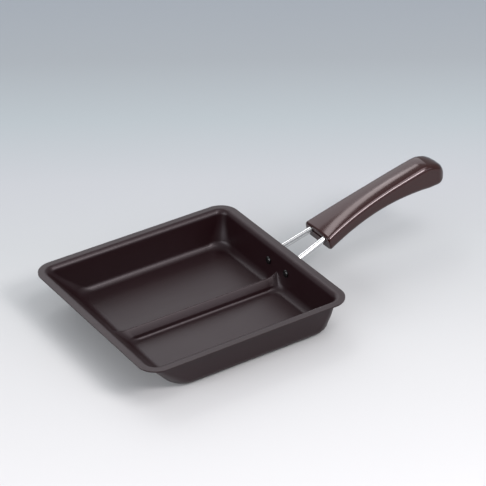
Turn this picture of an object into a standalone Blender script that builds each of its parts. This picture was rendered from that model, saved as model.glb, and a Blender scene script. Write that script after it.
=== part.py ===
# Divided square frying pan: a pressed steel tray on two rods with a moulded handle.
# Metres, +Z up, +X from the tray towards the handle, built about the tray's centre.

import math

import bmesh
import bpy
from mathutils import Matrix, Vector

# Clearance that touching pieces keep
gap = 0.0003

# Tray
rim_length = 0.1916
rim_width = 0.1869
tray_height = 0.0331
sheet = 0.0012
flange = 0.0044
bend_radius = 0.0050
wall_lean = math.radians(6)
wall_fillet = 0.0065
pour_lean = math.radians(40)
pour_fillet = 0.010
rim_corner = 0.0167
floor_corner = 0.0150
corner_opening = 1.4
pocket_opening = 0.6
rim_edge_round = 0.0005

# Pressed ridge between the compartments
ridge_height = 0.0098
ridge_crest = 0.0019
ridge_lean = math.radians(20)
ridge_foot = 0.003
ridge_rise = 0.0035
pocket_corner = 0.0095

# Rivets
rivet_spacing = 0.0256
rivet_height = 0.0188
rivet_shank = 0.0036
rivet_head = 0.0068
rivet_dome = 0.0017
rivet_tail = 0.0060
rivet_tail_dome = 0.0014

# Rods
rod_diameter = 0.0052
rod_climb = math.radians(17.8)
rod_toe = math.radians(4.9)
rod_wall_height = 0.0247
rod_bend = 0.0045
rod_inner_end = 0.168
tab_width = 0.0086
tab_thickness = 0.0020
tab_below_rivet = 0.0045
tab_blend = 0.005
tab_squareness = 5
rod_chamfer = 0.0005

# Handle
grip_front = 0.1264
grip_front_height = 0.0350
grip_angle = math.radians(22.9)
grip_arc = 0.355
grip_length = 0.1312
grip_front_face = math.radians(12)
grip_face_run = 0.022
grip_waist = 0.0242
grip_flare = 0.0120
grip_flare_run = 0.080
grip_front_depth = 0.0142
grip_end_depth = 0.0238
grip_depth_run = 0.112
grip_depth_power = 3.1
grip_crown = 0.0014
grip_top_fillet = 0.0022
grip_nose_fillet = 0.0045
grip_fillet_run = 0.070
grip_low_fillet = 0.0042
grip_face_fillet = 0.0018
grip_fillet_room = 0.96
nose_drop = 0.0053
nose_rise = 0.0007
nose_top_run = 0.0258
nose_low_run = 0.0110
nose_side_run = 0.0107

# Cross plate and screw inside the handle
plate_thickness = 0.0016
plate_setback = 0.003
plate_length = 0.036
screw_distance = 0.026
screw_shank = 0.0036
screw_head = 0.0068
screw_head_height = 0.0022
screw_chamfer = 0.0006
screw_recess = 0.0034
screw_past_plate = 0.0022
drive_width = 0.0012
drive_length = 0.0038
drive_depth = 0.0010

# How far cutters run past what they cut
cutter_reach = 0.02

# Mesh fineness
corner_steps = 6
pocket_steps = 4
rim_bend_steps = 4
wall_ring_shares = (0.72, 0.45, 0.2)
crest_ring_angles = (25, 48, 70)
fillet_steps = 5
round_steps = 24
dome_steps = 5
rod_sides = 16
tab_end_steps = 5
rod_bend_steps = 6
tab_blend_steps = 3
grip_corner_steps = 3
grip_crown_steps = 6
grip_face_steps = 3
grip_plain_steps = 14
grip_nose_steps = 16

collection = None
cutters = None
frame = None


def clearScene():
    for obj in list(bpy.data.objects):
        bpy.data.objects.remove(obj, do_unlink=True)


def newCollection(name):
    made = bpy.data.collections.new(name)
    bpy.context.scene.collection.children.link(made)
    return made


def makeMaterial(name, colour, roughness, metallic):
    made = bpy.data.materials.new(name)
    made.use_nodes = True
    shader = made.node_tree.nodes["Principled BSDF"]
    shader.inputs["Base Color"].default_value = (*colour, 1)
    shader.inputs["Roughness"].default_value = roughness
    shader.inputs["Metallic"].default_value = metallic
    return made


def addObject(name, mesh, material, matrix=Matrix.Identity(4)):
    obj = bpy.data.objects.new(name, mesh)
    if material is None:
        cutters.objects.link(obj)
        obj.hide_render = True
        obj.display_type = "WIRE"
    else:
        collection.objects.link(obj)
        obj.data.materials.append(material)
    obj.parent = frame
    obj.matrix_basis = matrix
    return obj


def meshFrom(name, bm):
    mesh = bpy.data.meshes.new(name)
    bm.to_mesh(mesh)
    bm.free()
    return mesh


def smooth(obj, degrees=35):
    obj.data.shade_smooth()
    obj.data.set_sharp_from_angle(angle=math.radians(degrees))


def cut(obj, cutter):
    modifier = obj.modifiers.new("cut " + cutter.name, "BOOLEAN")
    modifier.operation = "DIFFERENCE"
    modifier.solver = "EXACT"
    modifier.object = cutter


def axisFrame(point, along):
    """Places local Z along a direction, with local Y kept level."""
    z = along.normalized()
    y = Vector((0, 1, 0))
    x = y.cross(z).normalized()
    y = z.cross(x)
    turned = Matrix((x, y, z)).transposed().to_4x4()
    return Matrix.Translation(point) @ turned


def cylinderMesh(name, radius, low, high):
    bm = bmesh.new()
    bmesh.ops.create_cone(
        bm, cap_ends=True, segments=round_steps, radius1=radius, radius2=radius, depth=high - low
    )
    bmesh.ops.translate(bm, verts=bm.verts, vec=(0, 0, (high + low) / 2))
    return meshFrom(name, bm)


def turned(name, profile, material, matrix):
    """Turns a profile of (radius, height), given top to bottom, about local Z."""
    mesh = bpy.data.meshes.new(name)
    points = [(r, 0, z) for r, z in profile]
    mesh.from_pydata(points, [(i, i + 1) for i in range(len(points) - 1)], [])
    obj = addObject(name, mesh, material, matrix)
    screw = obj.modifiers.new("turn", "SCREW")
    screw.axis = "Z"
    screw.steps = round_steps
    screw.render_steps = round_steps
    screw.use_merge_vertices = True
    screw.merge_threshold = 0.00001
    screw.use_smooth_shade = True
    return obj


def loft(name, rings, material):
    """Skins rings of equal count and caps both ends."""
    bm = bmesh.new()
    rows = [[bm.verts.new(p) for p in ring] for ring in rings]
    count = len(rings[0])
    for low, high in zip(rows, rows[1:]):
        for i in range(count):
            j = (i + 1) % count
            bm.faces.new((low[i], low[j], high[j], high[i]))
    bm.faces.new(rows[0])
    bm.faces.new(rows[-1])
    bmesh.ops.recalc_face_normals(bm, faces=bm.faces)
    obj = addObject(name, meshFrom(name, bm), material)
    smooth(obj)
    return obj


def wallInset(z, lean, fillet):
    """How far inside the rim the tray's inner surface lies at height z."""
    bend_low = tray_height - bend_radius * (1 - math.sin(lean))
    bend_end = flange + bend_radius * math.cos(lean)
    if z >= bend_low:
        return flange + bend_radius * math.sin(math.acos(1 - (tray_height - z) / bend_radius))
    fillet_top = sheet + fillet * (1 - math.sin(lean))
    if z >= fillet_top:
        return bend_end + (bend_low - z) * math.tan(lean)
    foot = bend_end + (bend_low - fillet_top) * math.tan(lean) + fillet * math.cos(lean)
    return foot - math.sqrt(max(fillet**2 - (sheet + fillet - z) ** 2, 0))


def handleWall(z):
    """Inner surface of the wall that carries the handle."""
    return rim_length / 2 - wallInset(z, wall_lean, wall_fillet)


def pourWall(z):
    """Inner surface of the leaning wall opposite the handle."""
    return rim_length / 2 - wallInset(z, pour_lean, pour_fillet)


def sideWall(z):
    return rim_width / 2 - wallInset(z, wall_lean, wall_fillet)


def ridgeHalfWidth(z):
    """Half width of the ridge at height z, crest arc, flank and foot fillet."""
    crest = sheet + ridge_height
    shoulder = crest - ridge_crest * (1 - math.sin(ridge_lean))
    shoulder_half = ridge_crest * math.cos(ridge_lean)
    if z >= shoulder:
        return math.sqrt(max(ridge_crest**2 - (ridge_crest - (crest - z)) ** 2, 0))
    foot_top = sheet + ridge_foot * (1 - math.sin(ridge_lean))
    if z >= foot_top:
        return shoulder_half + (shoulder - z) * math.tan(ridge_lean)
    foot_half = shoulder_half + (shoulder - foot_top) * math.tan(ridge_lean)
    foot_end = foot_half + ridge_foot * math.cos(ridge_lean)
    return foot_end - math.sqrt(max(ridge_foot**2 - (sheet + ridge_foot - z) ** 2, 0))


def cornerRadius(z):
    """Concentric with the rim as far as the bend, then opening towards the floor."""
    bend_low = tray_height - bend_radius * (1 - math.sin(wall_lean))
    if z >= bend_low:
        return rim_corner - wallInset(z, wall_lean, wall_fillet)
    top_corner = rim_corner - wallInset(bend_low, wall_lean, wall_fillet)
    share = (bend_low - z) / (bend_low - sheet)
    opened = (share * share * (3 - 2 * share)) ** corner_opening
    return top_corner + (floor_corner - top_corner) * opened


def pocketPath(z, ridge, split):
    """Steps from the end wall round a pocket's inner corner to the ridge.

    Gives (distance from the wall, y, height). split runs from 0 at the crest,
    where the corner is square and climbs the wall, to 1 where it is round.
    """
    steps = []
    for j in range(2 * pocket_steps + 1):
        along = j / pocket_steps
        off = max(along - 1, 0)
        aside = max(1 - along, 0)
        turn = math.pi / 4 * along
        off = (1 - split) * off + split * (1 - math.cos(turn))
        aside = (1 - split) * aside + split * (1 - math.sin(turn))
        climb = ridge_rise * ((1 - split) * (1 - abs(along - 1))) ** 2
        steps.append((pocket_corner * off, ridge + pocket_corner * aside, z + climb))
    return steps


def trayRing(z, split=None):
    """One level of the tray's half at +Y; split is given at and below the crest."""
    crest = sheet + ridge_height
    ridge = ridgeHalfWidth(z) if z < crest else 0.0
    path = pocketPath(z, ridge, split or 0.0)
    if split is None:
        path = [(off, y, z) for off, y, _ in path]
    wall_part = path[: pocket_steps + 1]
    ridge_part = path[pocket_steps + 1 :]
    radius = cornerRadius(z)
    side = sideWall(z)

    def leftX(off, height):
        return -pourWall(height) + off

    def rightX(off, height):
        return handleWall(height) - off

    ring = [(leftX(off, h), y, h) for off, y, h in reversed(wall_part)]
    for i in range(corner_steps + 1):
        turn = math.pi / 2 * i / corner_steps
        x = leftX(radius - radius * math.cos(turn), z)
        ring.append((x, side - radius + radius * math.sin(turn), z))
    for i in range(corner_steps + 1):
        turn = math.pi / 2 * i / corner_steps
        x = rightX(radius - radius * math.sin(turn), z)
        ring.append((x, side - radius + radius * math.cos(turn), z))
    ring += [(rightX(off, h), y, h) for off, y, h in wall_part]
    if split is not None:
        ring += [(rightX(off, h), y, h) for off, y, h in ridge_part]
        ring += [(leftX(off, h), y, h) for off, y, h in reversed(ridge_part)]
    return ring


def flangeRing():
    """The rim's outer edge, with as many points as the open rings have."""
    inner = trayRing(tray_height)
    ring = []
    half = len(inner) // 2
    for i, (x, y, z) in enumerate(inner):
        wall_points = pocket_steps + 1
        from_end = min(i, len(inner) - 1 - i)
        sign = -1 if i < half else 1
        if from_end < wall_points:
            ring.append((sign * rim_length / 2, y, z))
            continue
        turn = math.pi / 2 * (from_end - wall_points) / corner_steps
        across = rim_corner * (1 - math.cos(turn))
        ring.append(
            (sign * (rim_length / 2 - across), rim_width / 2 - rim_corner * (1 - math.sin(turn)), z)
        )
    return ring


def makeTray(material):
    crest = sheet + ridge_height
    bend_turn = math.pi / 2 - wall_lean
    bend_angles = [bend_turn * i / rim_bend_steps for i in range(rim_bend_steps + 1)]
    upper = [flangeRing()]
    upper += [trayRing(tray_height - bend_radius * (1 - math.cos(a))) for a in bend_angles]
    wall_low = crest + ridge_rise
    wall_span = tray_height - bend_radius - wall_low
    upper += [trayRing(wall_low + wall_span * share) for share in wall_ring_shares]

    levels = [crest]
    for degrees in crest_ring_angles:
        levels.append(crest - ridge_crest * (1 - math.cos(math.radians(degrees))))
    for i in range(fillet_steps, -1, -1):
        levels.append(sheet + wall_fillet * (1 - math.cos(bend_turn * i / fillet_steps)))
    lower = []
    for z in levels:
        split = ((crest - z) / ridge_height) ** pocket_opening
        lower.append(trayRing(z, split))

    bm = bmesh.new()
    rows = [[bm.verts.new(p) for p in ring] for ring in upper + lower]
    open_count = len(upper[0])
    for high, low in zip(rows, rows[1:]):
        closed = len(high) == len(low) and len(high) > open_count
        count = len(high) if closed else open_count - 1
        for i in range(count):
            j = (i + 1) % len(high)
            bm.faces.new((high[i], low[i], low[j], high[j]))
    bm.faces.new(list(reversed(rows[-1])))
    bm.normal_update()
    if bm.faces[:][-1].normal.z < 0:
        bmesh.ops.reverse_faces(bm, faces=bm.faces)
    body = addObject("pan_body", meshFrom("pan_body", bm), material)

    mirror = body.modifiers.new("other compartment", "MIRROR")
    mirror.use_axis = (False, True, False)
    mirror.use_mirror_merge = True
    mirror.merge_threshold = 0.00001
    shell = body.modifiers.new("sheet", "SOLIDIFY")
    shell.thickness = sheet
    shell.offset = -1
    shell.use_even_offset = True
    rounded = body.modifiers.new("rim edge", "BEVEL")
    rounded.width = rim_edge_round
    rounded.segments = 2
    rounded.limit_method = "ANGLE"
    rounded.angle_limit = math.radians(80)
    smooth(body)
    return body


def wallOutward():
    """Direction out of the tray, square to the wall that carries the handle."""
    return Vector((math.cos(wall_lean), 0, -math.sin(wall_lean)))


def wallUp():
    return Vector((math.sin(wall_lean), 0, math.cos(wall_lean)))


def rivetPoint(side):
    """Where a rivet's axis meets the wall's outer face."""
    inner = Vector((handleWall(rivet_height), side * rivet_spacing / 2, rivet_height))
    return inner + wallOutward() * sheet


def dome(radius, height, low):
    """Profile of a rivet's dome, from its top to its edge."""
    points = []
    for i in range(dome_steps + 1):
        turn = math.pi / 2 * i / dome_steps
        points.append((radius * math.sin(turn), low + height * math.cos(turn)))
    return points


def makeRivet(name, side, material):
    """The head is inside the tray; the tail closes over the rod's flat end."""
    place = axisFrame(rivetPoint(side), -wallOutward())
    head_low = sheet + gap
    tail_top = -(gap + tab_thickness + gap)
    shank = rivet_shank / 2
    profile = dome(rivet_head / 2, rivet_dome, head_low)
    profile += [(shank, head_low), (shank, tail_top)]
    tail = dome(rivet_tail / 2, -rivet_tail_dome, tail_top)
    profile += reversed(tail)
    return turned(name, profile, material, place)


def rodLine(side, distance):
    """Point on a rod's axis, at a level distance from where it turns at the wall."""
    corner = rodCorner(side)
    return corner + Vector((distance, -side * distance * math.tan(rod_toe), distance * math.tan(rod_climb)))


def rodCorner(side):
    """Where the rod's axis would meet its flat end's middle plane."""
    outer = rivetPoint(side) + wallOutward() * (gap + tab_thickness / 2)
    lift = (rod_wall_height - outer.z) / wallUp().z
    return outer + wallUp() * lift


def rodDirection(side):
    return (rodLine(side, 1) - rodLine(side, 0)).normalized()


def superellipse(half_width, half_height, power, count):
    points = []
    for i in range(count):
        turn = 2 * math.pi * (i + 0.5) / count
        c, s = math.cos(turn), math.sin(turn)
        x = math.copysign(abs(c) ** (2 / power), c) * half_width
        y = math.copysign(abs(s) ** (2 / power), s) * half_height
        points.append((x, y))
    return points


def makeRod(name, side, material):
    """Flat tab on the wall, a bend, and the round rod, as one loft."""
    up, out = wallUp(), wallOutward()
    along = rodDirection(side)
    corner = rodCorner(side)
    turn = up.angle(along)
    tangent = rod_bend * math.tan(turn / 2)
    level = Vector((0, 1, 0))
    radius = rod_diameter / 2
    half = tab_width / 2
    rivet_mid = rivetPoint(side) + out * (gap + tab_thickness / 2)
    tab_top = (corner - rivet_mid).length - tangent

    rings = []

    def addRing(point, direction, width, height, power):
        across = (level - direction * level.dot(direction)).normalized()
        normal = direction.cross(across)
        shape = superellipse(width, height, power, rod_sides)
        rings.append([point + across * x + normal * y for x, y in shape])

    for i in range(1, tab_end_steps + 1):
        turn_end = math.pi / 2 * i / tab_end_steps
        reach = half * (1 - math.cos(turn_end))
        tip = rivet_mid + up * (reach - tab_below_rivet)
        addRing(tip, up, half * math.sin(turn_end), tab_thickness / 2, tab_squareness)
    addRing(rivet_mid + up * tab_top, up, half, tab_thickness / 2, tab_squareness)

    start = corner - up * tangent
    side_axis = up.cross(along).normalized()
    centre = start + side_axis.cross(up).normalized() * rod_bend
    run = rod_bend * turn + tab_blend
    for i in range(1, rod_bend_steps + 1):
        angle = turn * i / rod_bend_steps
        spin = Matrix.Rotation(angle, 3, side_axis)
        share = rod_bend * angle / run
        addRing(centre + spin @ (start - centre), spin @ up, *rodSection(share))
    bend_end = corner + along * tangent
    for i in range(1, tab_blend_steps + 1):
        past = tab_blend * i / tab_blend_steps
        share = (rod_bend * turn + past) / run
        addRing(bend_end + along * past, along, *rodSection(share))
    length = (rodLine(side, rod_inner_end - corner.x) - bend_end).length
    end_radius = radius - rod_chamfer
    addRing(bend_end + along * (length - rod_chamfer), along, radius, radius, 2)
    addRing(bend_end + along * length, along, end_radius, end_radius, 2)
    return loft(name, rings, material)


def rodSection(share):
    """Half width, half height and squareness between the flat tab and the round rod."""
    ease = share * share * (3 - 2 * share)
    radius = rod_diameter / 2
    width = tab_width / 2 + (radius - tab_width / 2) * ease
    height = tab_thickness / 2 + (radius - tab_thickness / 2) * ease
    return width, height, tab_squareness + (2 - tab_squareness) * ease


def gripAngle(s):
    return grip_angle - s / grip_arc


def gripSpine(s):
    """Point on the handle's arched centre line, s metres from its front."""
    x = grip_front + grip_arc * (math.sin(grip_angle) - math.sin(gripAngle(s)))
    z = grip_front_height + grip_arc * (math.cos(gripAngle(s)) - math.cos(grip_angle))
    return Vector((x, 0, z))


def quarterRound(s, run):
    """1 along the grip, falling to 0 at its end as a quarter of an ellipse."""
    past = max(s - (grip_length - run), 0) / run
    return math.sqrt(max(1 - past * past, 0))


def gripHalfWidth(s):
    flare = grip_flare / 2 * max(1 - s / grip_flare_run, 0) ** 2
    return (grip_waist / 2 + flare) * quarterRound(s, nose_side_run)


def gripHalfDepth(s):
    share = min(s / grip_depth_run, 1) ** grip_depth_power
    return (grip_front_depth + (grip_end_depth - grip_front_depth) * share) / 2


def gripGrowth(s):
    """0 along the front of the grip, growing to 1 at its end."""
    return max(1 - (grip_length - s) / grip_fillet_run, 0) ** 2


def gripTop(s):
    reach = gripHalfDepth(s) + nose_rise * gripGrowth(s) + nose_drop
    return -nose_drop + reach * quarterRound(s, nose_top_run)


def gripLow(s):
    return -nose_drop + (nose_drop - gripHalfDepth(s)) * quarterRound(s, nose_low_run)


def gripRing(s, inset):
    """Section with a crowned top, and edges of the top that soften towards the nose."""
    half = gripHalfWidth(s) - inset
    crown = grip_crown * half / (grip_waist / 2)
    top = gripTop(s) - inset - crown
    low = gripLow(s) + inset
    room = min(half, (top - low) / 2) * grip_fillet_room
    top_fillet = grip_top_fillet + (grip_nose_fillet - grip_top_fillet) * gripGrowth(s)
    top_round = min(top_fillet, room)
    low_round = min(grip_low_fillet, room)
    outline = []
    corners = (
        (half - low_round, low + low_round, low_round, -90),
        (half - top_round, top - top_round, top_round, 0),
    )
    for y, z, radius, first in corners:
        for i in range(grip_corner_steps + 1):
            turn = math.radians(first + 90 * i / grip_corner_steps)
            outline.append((y + radius * math.cos(turn), z + radius * math.sin(turn)))
    flat = half - top_round
    for i in range(1, grip_crown_steps):
        y = flat * (1 - 2 * i / grip_crown_steps)
        outline.append((y, top + crown * (1 - (y / flat) ** 2)))
    outline += [(-y, z) for y, z in reversed(outline[: 2 * grip_corner_steps + 2])]

    square = max(1 - s / grip_face_run, 0) ** 2
    angle = gripAngle(s) - (grip_angle - grip_front_face) * square
    across = Vector((-math.sin(angle), 0, math.cos(angle)))
    middle = gripSpine(s)
    return [middle + Vector((0, y, 0)) + across * z for y, z in outline]


def makeGrip(material):
    rings = []
    for i in range(grip_face_steps + 1):
        turn = math.pi / 2 * i / grip_face_steps
        back = grip_face_fillet * (1 - math.cos(turn))
        rings.append(gripRing(back, grip_face_fillet * (1 - math.sin(turn))))
    nose_start = grip_length - nose_top_run
    for i in range(1, grip_plain_steps + 1):
        share = i / grip_plain_steps
        rings.append(gripRing(grip_face_fillet + (nose_start - grip_face_fillet) * share, 0))
    for i in range(1, grip_nose_steps):
        turn = math.pi / 2 * i / grip_nose_steps
        rings.append(gripRing(nose_start + nose_top_run * math.sin(turn), 0))
    return loft("handle_grip", rings, material)


def rodPlane(distance):
    """Point midway between the rods, on their common plane."""
    return (rodLine(1, distance) + rodLine(-1, distance)) / 2


def rodPlaneFrame(distance):
    along = Vector((math.cos(rod_climb), 0, math.sin(rod_climb)))
    normal = Vector((-math.sin(rod_climb), 0, math.cos(rod_climb)))
    turned_axes = Matrix((along, Vector((0, 1, 0)), normal)).transposed().to_4x4()
    return Matrix.Translation(rodPlane(distance)) @ turned_axes


def rodHalfSpread(run):
    """Half the distance between the rods' axes, run metres past the handle's front."""
    start = grip_front - rodCorner(1).x
    return rodLine(1, start + run * math.cos(rod_climb)).y


def flatPlate(name, near, far, inset, thickness, material):
    """A flat trapezoid between the rods, near and far of the handle's front."""
    bm = bmesh.new()
    corners = []
    for run, side in ((near, -1), (far, -1), (far, 1), (near, 1)):
        corners.append(bm.verts.new((run, side * (rodHalfSpread(run) - inset), 0)))
    bm.faces.new(corners)
    place = rodPlaneFrame(grip_front - rodCorner(1).x)
    obj = addObject(name, meshFrom(name, bm), material, place)
    shell = obj.modifiers.new("plate", "SOLIDIFY")
    shell.thickness = thickness
    shell.offset = 0
    return obj


def screwFrame():
    return rodPlaneFrame(grip_front - rodCorner(1).x) @ Matrix.Translation((screw_distance, 0, 0))


def gripUnderside():
    """Distance from the rods' plane down to the grip's underside at the screw."""
    axis = screwFrame()
    s = screw_distance
    below = gripSpine(s) + Vector((math.sin(gripAngle(s)), 0, -math.cos(gripAngle(s)))) * gripHalfDepth(s)
    return -(axis.inverted() @ below).z


def makeScrew(material):
    seat = -(gripUnderside() - screw_recess)
    head_top = seat - gap
    head_low = head_top - screw_head_height
    tip = plate_thickness / 2 + screw_past_plate
    shank = screw_shank / 2
    head = screw_head / 2
    profile = [(0, tip), (shank - screw_chamfer, tip), (shank, tip - screw_chamfer)]
    profile += [(shank, head_top), (head, head_top), (head, head_low + screw_chamfer)]
    profile += [(head - screw_chamfer, head_low), (0, head_low)]
    screw = turned("handle_screw", profile, material, screwFrame())
    slots = (
        ("screw_drive_a", (drive_length, drive_width, 2 * drive_depth)),
        ("screw_drive_b", (drive_width, drive_length, 2 * drive_depth)),
    )
    for name, size in slots:
        bm = bmesh.new()
        bmesh.ops.create_cube(bm, size=1)
        bmesh.ops.scale(bm, verts=bm.verts, vec=size)
        place = screwFrame() @ Matrix.Translation((0, 0, head_low))
        cut(screw, addObject(name, meshFrom(name, bm), None, place))
    return screw, seat


def centreOnFloor():
    """Moves the common parent so that the pan's box is centred on the origin."""
    bpy.context.view_layer.update()
    graph = bpy.context.evaluated_depsgraph_get()
    reach = []
    for obj in collection.objects:
        evaluated = obj.evaluated_get(graph)
        reach += [(evaluated.matrix_world @ Vector(c)).x for c in evaluated.bound_box]
    frame.location.x = -(min(reach) + max(reach)) / 2


def build():
    global collection, cutters, frame
    clearScene()
    collection = newCollection("divided square frying pan")
    cutters = newCollection("cutters")
    frame = bpy.data.objects.new("pan_frame", None)
    collection.objects.link(frame)

    coating = makeMaterial("brown_coating", (0.062, 0.045, 0.047), 0.42, 0.3)
    chrome = makeMaterial("chromed_steel", (0.82, 0.82, 0.83), 0.12, 1.0)
    dark_rivet = makeMaterial("black_rivet", (0.012, 0.012, 0.012), 0.25, 0.4)
    steel = makeMaterial("plain_steel", (0.55, 0.55, 0.56), 0.35, 1.0)
    phenolic = makeMaterial("brown_phenolic", (0.060, 0.038, 0.038), 0.22, 0.0)

    body = makeTray(coating)
    grip = makeGrip(phenolic)
    plate = flatPlate(
        "tang_plate", plate_setback, plate_setback + plate_length, rod_diameter / 2 + gap,
        plate_thickness, steel,
    )
    screw, seat = makeScrew(steel)

    for name, side in (("left", 1), ("right", -1)):
        rod = makeRod("rod_" + name, side, chrome)
        makeRivet("rivet_" + name, side, dark_rivet)
        hole_frame = axisFrame(rivetPoint(side), -wallOutward())
        reach = sheet + tab_thickness + 4 * gap
        hole_mesh = cylinderMesh("rivet_hole_" + name, rivet_shank / 2 + gap, -reach, reach)
        hole = addObject(hole_mesh.name, hole_mesh, None, hole_frame)
        cut(body, hole)
        cut(rod, hole)
        bore_end = (rod_inner_end - grip_front) / (math.cos(rod_climb) * math.cos(rod_toe)) + gap
        bore_mesh = cylinderMesh("rod_bore_" + name, rod_diameter / 2 + gap, -cutter_reach, bore_end)
        front = rodLine(side, grip_front - rodCorner(side).x)
        bore = addObject(bore_mesh.name, bore_mesh, None, axisFrame(front, rodDirection(side)))
        cut(grip, bore)

    slot = flatPlate(
        "plate_slot", -cutter_reach, plate_setback + plate_length + gap, 0,
        plate_thickness + 2 * gap, None,
    )
    cut(grip, slot)
    hole_low = -gripUnderside() - cutter_reach
    tip = plate_thickness / 2 + screw_past_plate + gap
    shank_mesh = cylinderMesh("screw_hole", screw_shank / 2 + gap, hole_low, tip)
    shank_hole = addObject(shank_mesh.name, shank_mesh, None, screwFrame())
    recess_mesh = cylinderMesh("screw_recess", screw_head / 2 + gap, hole_low, seat)
    recess = addObject(recess_mesh.name, recess_mesh, None, screwFrame())
    cut(grip, shank_hole)
    cut(grip, recess)
    cut(plate, shank_hole)
    centreOnFloor()


build()
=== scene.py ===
import math

import bmesh
import bpy
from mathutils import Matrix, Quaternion, Vector


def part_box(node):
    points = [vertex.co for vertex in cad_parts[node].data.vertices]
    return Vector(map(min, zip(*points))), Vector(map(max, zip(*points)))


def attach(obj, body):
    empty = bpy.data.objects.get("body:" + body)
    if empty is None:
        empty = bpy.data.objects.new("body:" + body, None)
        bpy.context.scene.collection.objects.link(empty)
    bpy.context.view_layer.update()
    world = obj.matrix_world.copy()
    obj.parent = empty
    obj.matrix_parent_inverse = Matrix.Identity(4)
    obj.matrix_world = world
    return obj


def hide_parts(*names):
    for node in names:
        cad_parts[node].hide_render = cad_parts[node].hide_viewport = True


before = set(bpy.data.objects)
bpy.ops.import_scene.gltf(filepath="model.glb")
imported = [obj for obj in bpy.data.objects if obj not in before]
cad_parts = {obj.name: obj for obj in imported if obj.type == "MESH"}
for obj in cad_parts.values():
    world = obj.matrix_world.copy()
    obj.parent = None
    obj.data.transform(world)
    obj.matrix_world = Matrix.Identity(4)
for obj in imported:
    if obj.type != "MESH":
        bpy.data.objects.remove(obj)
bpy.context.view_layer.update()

# Divided square frying pan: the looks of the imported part, in metres, +X towards the handle.
# Places along X are kept from the tray's centre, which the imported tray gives.
trayLow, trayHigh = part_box("pan_body")
trayCentre = (trayLow.x + trayHigh.x) / 2
clearance = 0.0003  # what touching pieces keep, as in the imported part
print("frame loaded:", len(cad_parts), "packed pieces")


# adds one node, with its settings and its links or values
def addNode(tree, kind, inputs=None, **settings):
    node = tree.nodes.new(kind)
    for key, value in settings.items():
        setattr(node, key, value)
    for key, value in (inputs or {}).items():
        if isinstance(value, bpy.types.NodeSocket):
            tree.links.new(value, node.inputs[key])
        else:
            node.inputs[key].default_value = value
    return node


# sRGB hex to the linear colour that nodes hold
def linear(hexColour):
    parts = [int(hexColour[i:i + 2], 16) / 255 for i in (1, 3, 5)]
    return [p / 12.92 if p <= 0.04045 else ((p + 0.055) / 1.055) ** 2.4 for p in parts] + [1.0]


# a material with one Principled shader, whose plain values are set on its own sockets
def newMaterial(name, values):
    material = bpy.data.materials.new(name)
    material.use_nodes = True
    shader = material.node_tree.nodes["Principled BSDF"]
    for key, value in values.items():
        shader.inputs[key].default_value = value
    return material, material.node_tree, shader


# an empty Geometry Nodes tree with one named input for each size
def newTree(name, sizes):
    tree = bpy.data.node_groups.new(name, "GeometryNodeTree")
    for key, value in sizes.items():
        kind = "NodeSocketFloat" if isinstance(value, float) else "NodeSocketVector"
        tree.interface.new_socket(key, in_out="INPUT", socket_type=kind)
    tree.interface.new_socket("Geometry", in_out="OUTPUT", socket_type="NodeSocketGeometry")
    entry = addNode(tree, "NodeGroupInput")
    known = {key: entry.outputs[key] for key in sizes}
    return tree, known


# works out a rule with nodes: each row is a result's name, the operation and its terms
def followRule(tree, known, rule):
    for name, operation, *terms in rule:
        kind = "ShaderNodeMath"
        if operation.startswith("vector "):
            kind = "ShaderNodeVectorMath"
            operation = operation.removeprefix("vector ")
        inputs = {i: known.get(term, term) for i, term in enumerate(terms)}
        if operation == "SCALE":
            inputs = {0: inputs[0], "Scale": inputs[1]}
        node = addNode(tree, kind, inputs, operation=operation)
        known[name] = node.outputs["Value" if operation == "DOT_PRODUCT" else 0]


# a tree ends in real geometry that wears its material
def endTree(tree, geometry, material):
    real = addNode(tree, "GeometryNodeRealizeInstances", {"Geometry": geometry})
    painted = addNode(tree, "GeometryNodeSetMaterial", {
        "Geometry": real.outputs[0], "Material": material})
    addNode(tree, "NodeGroupOutput", {"Geometry": painted.outputs[0]})
    return tree


# runs a tree with its sizes and turns the result into a plain mesh object
def growPiece(name, tree, sizes):
    maker = bpy.data.objects.new(name + "Maker", bpy.data.meshes.new(name + "Maker"))
    bpy.context.scene.collection.objects.link(maker)
    modifier = maker.modifiers.new("grow", "NODES")
    modifier.node_group = tree
    for item in tree.interface.items_tree:
        if item.in_out == "INPUT":
            modifier[item.identifier] = sizes[item.name]
    graph = bpy.context.evaluated_depsgraph_get()
    mesh = bpy.data.meshes.new_from_object(maker.evaluated_get(graph))
    bpy.data.objects.remove(maker)
    mesh.name = name
    return addPiece(name, mesh)


def addPiece(name, mesh):
    piece = bpy.data.objects.new(name, mesh)
    bpy.context.scene.collection.objects.link(piece)
    return piece


def meshFrom(bm, name):
    mesh = bpy.data.meshes.new(name)
    bm.to_mesh(mesh)
    bm.free()
    return mesh


def turnFacesOut(piece):
    bm = bmesh.new()
    bm.from_mesh(piece.data)
    bmesh.ops.recalc_face_normals(bm, faces=bm.faces)
    bm.to_mesh(piece.data)
    bm.free()


# shades a piece smooth, except at edges that turn by more than this
def shadeSmooth(piece, sharpDegrees):
    piece.data.shade_smooth()
    piece.data.set_sharp_from_angle(angle=math.radians(sharpDegrees))


# lets the large flat faces lead the shading of the thin roundings beside them
def leadByArea(piece):
    weighted = piece.modifiers.new("large faces lead", "WEIGHTED_NORMAL")
    weighted.mode = "FACE_AREA"
    weighted.keep_sharp = True


# turns the live modifiers of a piece into its mesh
def settleMesh(piece):
    graph = bpy.context.evaluated_depsgraph_get()
    mesh = bpy.data.meshes.new_from_object(piece.evaluated_get(graph))
    piece.modifiers.clear()
    piece.data = mesh


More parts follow.
